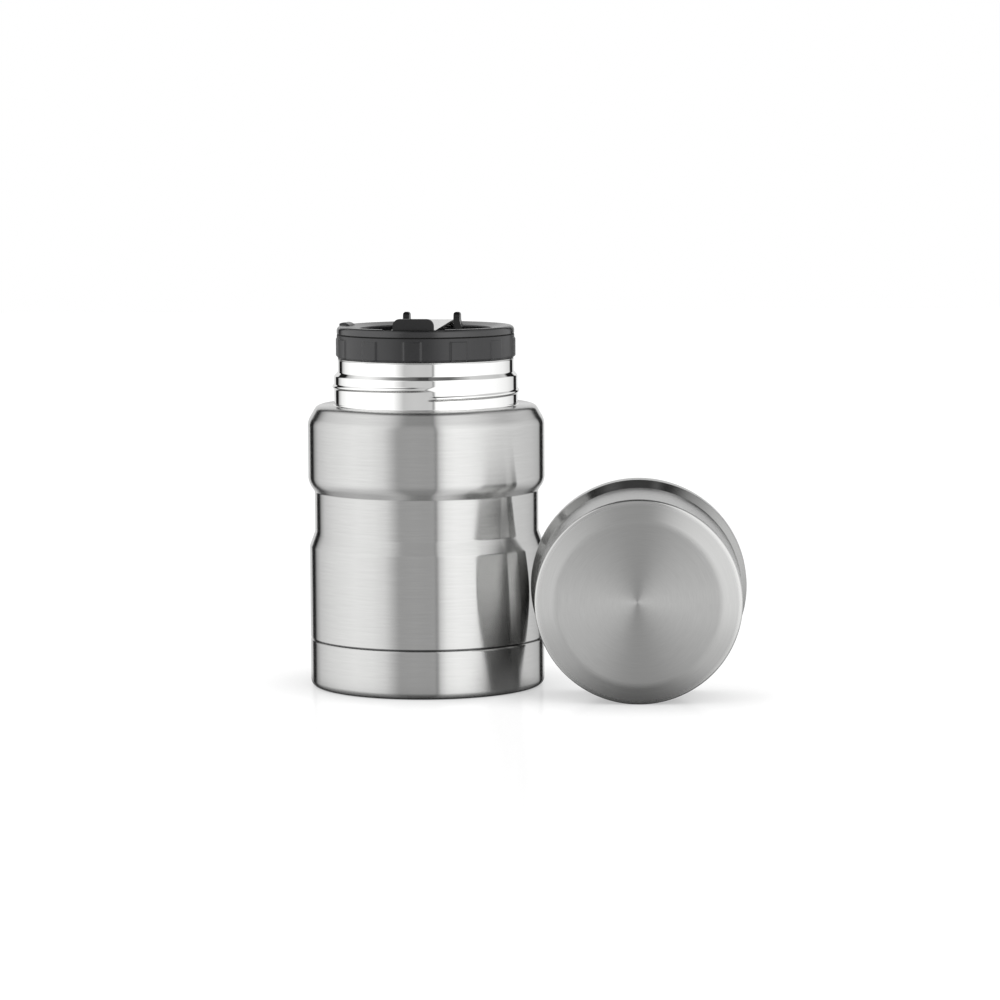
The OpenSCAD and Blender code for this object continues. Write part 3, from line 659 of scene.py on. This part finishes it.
class JAR_OT_base(bpy.types.Operator):
    """Makes the brushed bottom cup, which slips into the body above the roll line"""

    bl_idname = "jar.base"
    bl_label = "Base"

    def execute(self, context):
        jar = context.scene.jar
        lower = jar.bulge_r - jar.lower_in
        spigot_h, slip, edge = 5.25 * MM, 0.1 * MM, 0.1 * MM
        spigot = lower - jar.wall - slip
        low, top = jar.groove_z - HALF_LINE, jar.groove_z + spigot_h
        # The ring pressed into the underside: its radii and depths in millimetres.
        ring = [(34, 0), (35, 1), (37, 1), (38, 0)]
        under = [(r * MM, z * MM, 0.5 * MM) for r, z in ring]
        above = [(r, z + jar.wall, fillet) for r, z, fillet in under[::-1]]
        outline = rounded(
            [
                (0, 0, 0),
                *under,
                (lower, 0, jar.foot_round),
                (lower, low, 1.0 * MM),
                (spigot, low, edge),
                (spigot, top, edge),
                (spigot - jar.wall, top, edge),
                (spigot - jar.wall, jar.wall, 1.6 * MM),
                *above,
                (0, jar.wall, 0),
            ],
            steps=10,
        )
        angles = evenly(WALL_COLUMNS)
        mesh = surface("base", around(outline, angles), girth(angles, jar.bulge_r))
        # The seam paints shade into the roll line's crease.
        steel = brushed_steel(
            "Brushed stainless steel, base",
            jar.steel,
            jar.steel_deep,
            BELT_BRUSHED,
            seam=(low - 0.02 * MM, top),
        )
        piece("jar_base", mesh, "jar", "brushed_steel", steel, "base_cup")
        return {"FINISHED"}


class JAR_OT_inside(bpy.types.Operator):
    """Gives the vessel and what lies in the vacuum space their finishes"""

    bl_idname = "jar.inside"
    bl_label = "Inside"

    def execute(self, context):
        jar = context.scene.jar
        vessel = polished_steel(
            "Electropolished stainless steel", jar.steel, roughness=0.22, ripple=0.05
        )
        dress(vessel, "inner_vessel", "vessel_bottom")
        light, deep = linear("8E8E8E"), linear("7A7A7B")
        raw = grained("Raw pressed steel", light, deep, roughness=0.42, cell=1.2 * MM)
        dress(raw, "vacuum_plate")
        light, deep = linear("6B6C70"), linear("55565A")
        dull = grained(
            "Sintered metal", light, deep, roughness=0.6, cell=0.6 * MM, metallic=0.8
        )
        dress(dull, "seal_bead", "getter")
        light, deep = linear("E8E8EA"), linear("CFCFD2")
        foil = grained("Aluminium foil", light, deep, roughness=0.2, cell=4 * MM)
        dress(foil, "foil_wrap")
        return {"FINISHED"}


# ---------------------------------------------------------------- the stopper


class JAR_OT_stopper(bpy.types.Operator):
    """Makes the grip ring with its pads and the plug below it"""

    bl_idname = "jar.stopper"
    bl_label = "Stopper"

    def execute(self, context):
        jar, stopper = context.scene.jar, context.scene.stopper
        ring, plug, wall, edge = stopper.ring_r, stopper.plug_r, 1.6 * MM, 0.1 * MM
        low_z, mouth, split = stopper.plug_z, jar.mouth_z, stopper.split_z
        seat_in, seat_out, seat_h = 34.6 * MM, 35.8 * MM, 1.2 * MM
        foot, foot_h, lip = 0.5 * MM, 1 * MM, 0.35 * MM
        outline = rounded(
            [
                (0, low_z, 0),
                (plug, low_z, 2 * MM),
                (plug, mouth, edge),
                (seat_in, mouth, edge),
                (seat_in, mouth + seat_h, edge),
                (seat_out, mouth + seat_h, edge),
                (seat_out, mouth, edge),
                (ring - foot, mouth, 0.25 * MM),
                (ring, mouth + foot_h, 0.8 * MM),
                (ring, split - lip, 0.3 * MM),
                (ring - lip, split, edge),
                (plug - wall, split, edge),
                (plug - wall, low_z + wall, 2 * MM),
                (0, low_z + wall, 0),
            ],
            steps=6,
        )
        # Rows up the ring's face, close together where the pads begin and end.
        face = np.flatnonzero(
            (outline[:, 0] > ring - CLOSE) & (outline[:, 1] > mouth + foot_h)
        )
        low, high = outline[face[0], 1], outline[face[-1], 1]
        pad_z, pad_top_z, near = stopper.pad_z, stopper.pad_top_z, 0.5 * MM
        heights = np.concatenate(
            [
                [low],
                np.linspace(pad_z - near, pad_z + near, 11)[1:],
                np.linspace(pad_z + near, pad_top_z - 4 * near, 5)[1:-1],
                np.linspace(pad_top_z - 4 * near, pad_top_z + near, 13),
                [high],
            ]
        )
        heights = heights[(heights >= low) & (heights <= high)]
        rows = np.stack([np.full_like(heights, ring), heights], 1)
        outline = np.concatenate([outline[: face[0]], rows, outline[face[-1] + 1 :]])
        # Columns round the ring, close together at the pads' sides.
        pitch = TURN / stopper.pads
        half, soft = stopper.pad_w / 2 / ring, 0.45 * MM / ring
        side = np.concatenate(
            [
                np.linspace(0, half - soft, 7)[:-1],
                np.linspace(half - soft, half + soft, 11)[:-1],
                np.linspace(half + soft, pitch / 2, 8)[:-1],
            ]
        )
        one = np.concatenate([side, pitch - side[:0:-1]])
        angles = (np.arange(stopper.pads)[:, None] * pitch + one[None]).reshape(-1)
        grid = around(outline, angles)
        # A pad is the product of a smooth rise from each of its four sides.
        off = np.abs((angles + pitch / 2) % pitch - pitch / 2)
        across = ((half + soft - off) / (2 * soft))[None]
        z = outline[:, 1:]
        below, above = 0.5 * MM, 0.9 * MM
        along = np.clip((z - pad_z + below / 2) / below, 0, 1)
        along = along * np.clip((pad_top_z + above / 3 - z) / above, 0, 1)
        on_face = (outline[:, :1] > ring - 0.9 * MM) & (z > mouth + foot_h / 2)
        lift = eased(across) * eased(along) * on_face * stopper.pad_out
        # The plug's thread ridge, of one and a half turns, with short fades at its ends.
        turns, fade = 1.5, 0.03
        ridge_z, ridge_pitch = low_z + 6 * MM, 8 * MM
        ridge_w, ridge_h = 2.6 * MM, 0.8 * MM
        share = (angles[None] / TURN + 0.25) % 1.0
        ridge = np.zeros_like(lift)
        for lap in (0, 1):
            run = share + lap
            part = hump((z - ridge_z - ridge_pitch * run) / (ridge_w / 2))
            ends = np.clip((turns - run) / fade, 0, 1) * np.clip(run / fade, 0, 1)
            ridge = np.maximum(ridge, part * ends)
        on_plug = np.abs(outline[:, :1] - plug) < 0.1 * MM
        lift = lift + ridge * on_plug * ridge_h
        reach = np.maximum(np.linalg.norm(grid[..., :2], axis=-1), SAME)
        grid[..., :2] *= (1 + lift / reach)[..., None]
        # The columns start on +X, and the first pad belongs at the front.
        to_front = Matrix.Rotation(-TURN / 4, 4, "Z")
        grid = moved(grid, Matrix.Rotation(stopper.turn, 4, "Z") @ to_front)
        mesh = surface("stopper", grid, girth(angles, ring))
        joint = (split - 0.3 * MM, split + 0.28 * MM)
        plastic = moulded(
            "Moulded polypropylene, dark grey",
            stopper.plastic,
            roughness=0.34,
            sheen=0.62,
            seam=joint,
        )
        piece("stopper_ring", mesh, "stopper", "stopper_plastic", plastic, "stopper_body")
        glossy = moulded(
            "Moulded polypropylene, glossy",
            stopper.plastic,
            roughness=0.2,
            depth=0.05,
            sheen=0.8,
            seam=joint,
        )
        dress(glossy, "stopper_tray")
        foam = grained(
            "Closed-cell foam",
            stopper.foam,
            linear("D4CBAE"),
            roughness=0.9,
            cell=0.9 * MM,
            metallic=0.0,
        )
        dress(foam, "stopper_foam", "cup_pad")
        seal = moulded(
            "Moulded silicone", stopper.silicone, roughness=0.5, grain=0.5 * MM, depth=0.05
        )
        dress(seal, "plug_seal")
        return {"FINISHED"}


class JAR_OT_spoon(bpy.types.Operator):
    """Gives the folding spoon its steel and plastic"""

    bl_idname = "jar.spoon"
    bl_label = "Spoon"

    def execute(self, context):
        stopper = context.scene.stopper
        steel = polished_steel("Polished spoon steel", linear("DCDCDA"), roughness=0.16)
        dress(steel, "spoon_bowl", "spoon_handle", "hinge_pin", "yoke_rivets", "tab_rivets")
        tab = moulded("Moulded ABS, near black", stopper.tab, roughness=0.38)
        dress(tab, "handle_tab")
        black = moulded("Moulded ABS, black", stopper.black, roughness=0.24, depth=0.04)
        dress(black, "spoon_yoke")
        return {"FINISHED"}


# ---------------------------------------------------------------- the cup lid


def lying(cup):
    """The place of the cup, built with its rim down on Z = 0 and then laid on its side."""
    return (
        Matrix.Translation((cup.right, -cup.front, cup.rise))
        @ Matrix.Rotation(cup.turn, 4, "Z")
        @ Matrix.Rotation(math.pi / 2 + cup.tilt, 4, "X")
    )


class JAR_OT_cup(bpy.types.Operator):
    """Makes the cup lid's shell, brushed round its side and in circles on its end"""

    bl_idname = "jar.cup"
    bl_label = "Cup lid"

    def execute(self, context):
        jar, cup = context.scene.jar, context.scene.cup
        line_h, line_in, rim_round = 0.7 * MM, 0.28 * MM, 0.28 * MM
        bend_z = cup.line_z + 0.5 * MM
        edge_z = bend_z + cup.corner_r * math.tan((math.pi / 2 - cup.slope_lean) / 2)
        flat_r = cup.body_r - cup.slope_w
        end = edge_z + cup.slope_w * math.tan(cup.slope_lean)

        def side(inset):
            return [
                (cup.rim_r - inset, cup.rim_h, 2 * MM),
                (cup.body_r - inset, cup.rim_h + cup.step_h, 2 * MM),
            ]

        def closed_end(inset):
            down = inset * math.tan((math.pi / 2 - cup.slope_lean) / 2)
            across = inset * math.tan(cup.slope_lean / 2)
            return [
                (cup.body_r - inset, edge_z - down, cup.corner_r - inset),
                (flat_r - across, end - inset, cup.slope_r - inset),
            ]

        outside = rounded(
            [
                (cup.rim_r - cup.wall / 2, 0, 0),
                (cup.rim_r, 0, rim_round),
                *side(0),
                (cup.body_r, cup.line_z - line_h / 2, 0.15 * MM),
                (cup.body_r - line_in, cup.line_z, 0.1 * MM),
                (cup.body_r, cup.line_z + line_h / 2, 0.15 * MM),
                *closed_end(0),
                (0, end, 0),
            ],
            steps=14,
        )
        inside = rounded(
            [
                (0, end - cup.wall, 0),
                *closed_end(cup.wall)[::-1],
                *side(cup.wall)[::-1],
                (cup.rim_r - cup.wall, 0, rim_round),
                (cup.rim_r - cup.wall / 2, 0, 0),
            ],
            steps=6,
        )[:-1]
        angles = evenly(CUP_COLUMNS)
        grid = around(np.concatenate([outside, inside]), angles)
        v = running(grid[:, 0])
        # The scratches' circles on the flat of the end have their middle a little off centre.
        flat = np.abs(grid[..., 2] - end) < CLOSE
        share = np.clip(1 - np.linalg.norm(grid[..., :2], axis=-1) / flat_r, 0, 1)
        grid[..., 0] -= flat * share * cup.turned_left
        grid[..., 1] += flat * share * cup.turned_up
        mesh = surface("cup", moved(grid, lying(cup)), girth(angles, cup.body_r), v)
        # The side is brushed finer than the end. The finish changes just past the edge.
        bend = v[np.flatnonzero(outside[:, 1] > bend_z)[0]]
        steel = brushed_steel(
            "Brushed stainless steel, cup",
            jar.steel,
            jar.steel_deep,
            roughness=0.13,
            end=(bend + cup.corner_r, bend + 2.5 * cup.corner_r, 0.31),
        )
        piece("cup_lid", mesh, "cup", "brushed_steel", steel, "cup_shell")
        liner = moulded("Moulded polypropylene, liner", cup.liner, roughness=0.4)
        dress(liner, "cup_liner")
        return {"FINISHED"}


# ---------------------------------------------------------------- the studio

# Brightness of the studio round the jar, by the direction that it is seen in from the
# jar: degrees round from the front, towards the right. Two tall soft panels stand left and
# right of the camera, a dim gap lies between them, and narrow black cards stand at the
# pale background's edges, which draw the dark lines just inside the steel's outlines.
PANELS = [
    (-180, 0.66), (-156.5, 0.66), (-155, 0.01), (-143.5, 0.01), (-139.5, 0.44), (-130, 0.78),
    (-111, 0.99), (-95, 1.10), (-75, 1.21), (-55, 1.16), (-42, 1.0), (-33, 0.68),
    (-27, 0.48), (-12, 0.51), (2, 0.49), (8.4, 0.51), (9.4, 0.3), (11, 0.3), (12.6, 0.82),
    (20, 1.26), (30, 1.38), (45, 1.33), (60, 1.16), (78, 0.98), (100, 0.92), (124, 0.80),
    (143.5, 0.6), (147.5, 0.01), (159.5, 0.01), (161, 0.66), (180, 0.66),
]
# What is left of it by height, as the direction's Z. In front, the floor below is darker
# than the panels, and above them it is dark. Behind, the pale background ends a little
# higher than the jar and the dark room begins.
IN_FRONT = [
    (-1, 0.62), (-0.9, 0.6), (-0.6, 0.62), (-0.3, 0.97), (0, 1), (0.4, 1), (0.85, 0.85),
    (0.95, 0.12), (1, 0.1),
]
BEHIND = [
    (-1, 0.1), (-0.85, 0.1), (-0.5, 0.25), (-0.2, 0.9), (0.3, 1), (0.45, 0.8),
    (0.58, 0.07), (0.95, 0.1), (1, 0.1),
]
# How much of what stands behind counts, from the left to the right, as the direction's X.
BESIDE = [
    (-1, 0), (-0.6, 0), (-0.42, 0.8), (-0.25, 0.85), (-0.1, 1), (0.12, 1), (0.4, 0.3),
    (1, 0.3),
]
# The direction's Y where what stands in front ends and where what stands behind begins.
SIDEWAYS = (-0.2, 0.1)
# A ramp holds nothing above one, so the panels are divided by the first and multiplied by
# it again; the second is the light where the tables say one.
BRIGHTEST = 1.4
LEVEL = 1.24


def stops_of(table, low, high, most=1.0):
    """A colour ramp's stops for a table of (place, brightness) from low to high."""
    return [((place - low) / (high - low), (value / most,) * 3) for place, value in table]


class JAR_OT_studio(bpy.types.Operator):
    """Makes the floor, the soft light and the camera"""

    bl_idname = "jar.studio"
    bl_label = "Studio"

    def execute(self, context):
        studio, scene = context.scene.studio, context.scene
        scene.view_settings.view_transform = "Standard"
        self.make_floor(studio, scene)
        self.make_light(studio, scene)
        self.make_camera(studio, scene)
        return {"FINISHED"}

    def make_floor(self, studio, scene):
        """A large pale glossy board. Seen by the camera it is lifted to white by a glow that
        is weaker close to the pieces, a painted contact shadow, so that only the objects'
        shadows and a faint mirror image show on it. Steel sees the panels' lower part through
        it, as they would stand in its gloss, and close to a piece sees it dark grey, a painted
        shade."""
        half, contact = 3.0, 30 * MM
        # The board's tone for the camera, its dark grey for steel (a painted shade close to the
        # pieces), and its gloss.
        seen_tone, mirrored_shade, gloss_tone = grey(0.26), grey(0.05), grey(0.12)
        corners = [(-half, -half, 0), (half, -half, 0), (half, half, 0), (-half, half, 0)]
        mesh = bpy.data.meshes.new("floor")
        mesh.from_pydata(corners, [], [(0, 1, 2, 3)])
        floor = bpy.data.objects.new("floor", mesh)
        scene.collection.objects.link(floor)
        made = bpy.data.materials.new("Glossy white acrylic sheet")
        tree = emptied(made)
        path = add(tree, "ShaderNodeLightPath").outputs
        seen, mirrored = path["Is Camera Ray"], path["Is Glossy Ray"]
        tone = (*studio.floor, 1)
        for share, other in ((seen, seen_tone), (mirrored, mirrored_shade)):
            tone = add(
                tree,
                "ShaderNodeMix",
                {"Factor": share, "A": tone, "B": other},
                data_type="RGBA",
            ).outputs[2]
        board = add(tree, "ShaderNodeBsdfDiffuse", {"Color": tone})
        gloss = add(tree, "ShaderNodeBsdfGlossy", {"Color": gloss_tone, "Roughness": 0.15})
        # One on open floor, and less close to what stands on it.
        open_to = add(tree, "ShaderNodeAmbientOcclusion", {"Distance": contact}).outputs["AO"]
        # The white that the camera sees added: 0.8 on open floor and down to 0.4 close to a
        # piece, a painted contact shadow on top of the lit one.
        shade = add(
            tree, "ShaderNodeMapRange", {"Value": open_to, "To Min": 0.4, "To Max": 0.8}
        )
        faint = add(
            tree, "ShaderNodeMath", {0: seen, 1: shade.outputs[0]}, operation="MULTIPLY"
        )
        lift = add(tree, "ShaderNodeEmission", {"Strength": faint.outputs[0]})
        both = add(tree, "ShaderNodeAddShader", {0: board.outputs[0], 1: lift.outputs[0]})
        both = add(tree, "ShaderNodeAddShader", {0: both.outputs[0], 1: gloss.outputs[0]})
        # The share of the panels that steel sees: all of it on open floor, and 15 per cent
        # close to a piece, where the rest is the dark grey board, a painted shade.
        near = add(
            tree,
            "ShaderNodeMapRange",
            {"Value": open_to, "From Min": 0.55, "From Max": 0.9, "To Min": 0.15},
        )
        through = add(
            tree, "ShaderNodeMath", {0: mirrored, 1: near.outputs[0]}, operation="MULTIPLY"
        )
        clear = add(tree, "ShaderNodeBsdfTransparent")
        whole = add(
            tree,
            "ShaderNodeMixShader",
            {0: through.outputs[0], 1: both.outputs[0], 2: clear.outputs[0]},
        )
        add(tree, "ShaderNodeOutputMaterial", {"Surface": whole.outputs[0]})
        mesh.materials.append(made)

    def make_light(self, studio, scene):
        """The panels as light from all round, brightness by direction only."""
        scene.world = bpy.data.worlds.new("Studio")
        tree = emptied(scene.world)
        way = add(tree, "ShaderNodeTexCoord").outputs["Generated"]
        x, y, z = add(tree, "ShaderNodeSeparateXYZ", {0: way}).outputs
        front = add(tree, "ShaderNodeMath", {0: y, 1: -1.0}, operation="MULTIPLY")
        turn = add(tree, "ShaderNodeMath", {0: x, 1: front.outputs[0]}, operation="ARCTAN2")
        share = add(
            tree,
            "ShaderNodeMapRange",
            {"Value": turn.outputs[0], "From Min": -math.pi, "From Max": math.pi},
        )
        stops = stops_of(PANELS, -180, 180, BRIGHTEST)
        panels = add(tree, "ShaderNodeValToRGB", {"Fac": share.outputs[0]}, stops).outputs[0]
        height = add(tree, "ShaderNodeMapRange", {"Value": z, "From Min": -1.0}).outputs[0]
        across = add(tree, "ShaderNodeMapRange", {"Value": x, "From Min": -1.0}).outputs[0]
        ahead, back, beside = (
            add(tree, "ShaderNodeValToRGB", {"Fac": place}, stops_of(table, -1, 1)).outputs[0]
            for place, table in ((height, IN_FRONT), (height, BEHIND), (across, BESIDE))
        )
        low, high = SIDEWAYS
        rear = add(tree, "ShaderNodeMapRange", {"Value": y, "From Min": low, "From Max": high})
        rear = add(
            tree, "ShaderNodeMath", {0: rear.outputs[0], 1: beside}, operation="MULTIPLY"
        )
        left = add(
            tree,
            "ShaderNodeMix",
            {"Factor": rear.outputs[0], "A": ahead, "B": back},
            data_type="RGBA",
        ).outputs[2]
        light = add(
            tree,
            "ShaderNodeMix",
            {"Factor": 1.0, "A": panels, "B": left},
            data_type="RGBA",
            blend_type="MULTIPLY",
        ).outputs[2]
        lit = add(
            tree,
            "ShaderNodeBackground",
            {"Color": light, "Strength": BRIGHTEST * LEVEL * studio.light},
        )
        plain = add(tree, "ShaderNodeBackground", {"Color": grey(1), "Strength": 1.0})
        path = add(tree, "ShaderNodeLightPath")
        mixed = add(
            tree,
            "ShaderNodeMixShader",
            {0: path.outputs["Is Camera Ray"], 1: lit.outputs[0], 2: plain.outputs[0]},
        )
        add(tree, "ShaderNodeOutputWorld", {"Surface": mixed.outputs[0]})

    def make_camera(self, studio, scene):
        """A long lens a metre and a half in front, a little above the jar."""
        data = bpy.data.cameras.new("camera")
        data.lens = studio.focal
        camera = bpy.data.objects.new("camera", data)
        scene.collection.objects.link(camera)
        camera.matrix_world = (
            Matrix.Translation((studio.right, -studio.back, studio.up))
            @ Matrix.Rotation(math.pi / 2 - studio.down, 4, "X")
            @ Matrix.Rotation(studio.roll, 4, "Z")
        )
        scene.camera = camera


# ---------------------------------------------------------------- panel and running

SETTINGS = {
    "jar": JarSettings,
    "stopper": StopperSettings,
    "cup": CupSettings,
    "studio": StudioSettings,
}
OPERATORS = [
    JAR_OT_body,
    JAR_OT_neck,
    JAR_OT_base,
    JAR_OT_inside,
    JAR_OT_stopper,
    JAR_OT_spoon,
    JAR_OT_cup,
    JAR_OT_studio,
]


class JAR_PT_panel(bpy.types.Panel):
    """Lists the steps that make the jar, and their sizes and colours"""

    bl_idname = "JAR_PT_panel"
    bl_label = "Food jar"
    bl_space_type = "VIEW_3D"
    bl_region_type = "UI"
    bl_category = "Food jar"

    def draw(self, context):
        for step in OPERATORS:
            self.layout.operator(step.bl_idname)
        for name, group in SETTINGS.items():
            box = self.layout.box()
            for key in group.__annotations__:
                box.prop(getattr(context.scene, name), key)


def register():
    """Registers the settings, the steps and the panel."""
    for made in [*SETTINGS.values(), *OPERATORS, JAR_PT_panel]:
        bpy.utils.register_class(made)
    for name, group in SETTINGS.items():
        setattr(bpy.types.Scene, name, PointerProperty(type=group))


def unregister():
    """Takes back what register did, in the other order."""
    for name in SETTINGS:
        delattr(bpy.types.Scene, name)
    for made in [JAR_PT_panel, *OPERATORS[::-1], *list(SETTINGS.values())[::-1]]:
        bpy.utils.unregister_class(made)


def main():
    register()
    for step in OPERATORS:
        group, name = step.bl_idname.split(".")
        getattr(getattr(bpy.ops, group), name)()


if __name__ == "__main__":
    main()
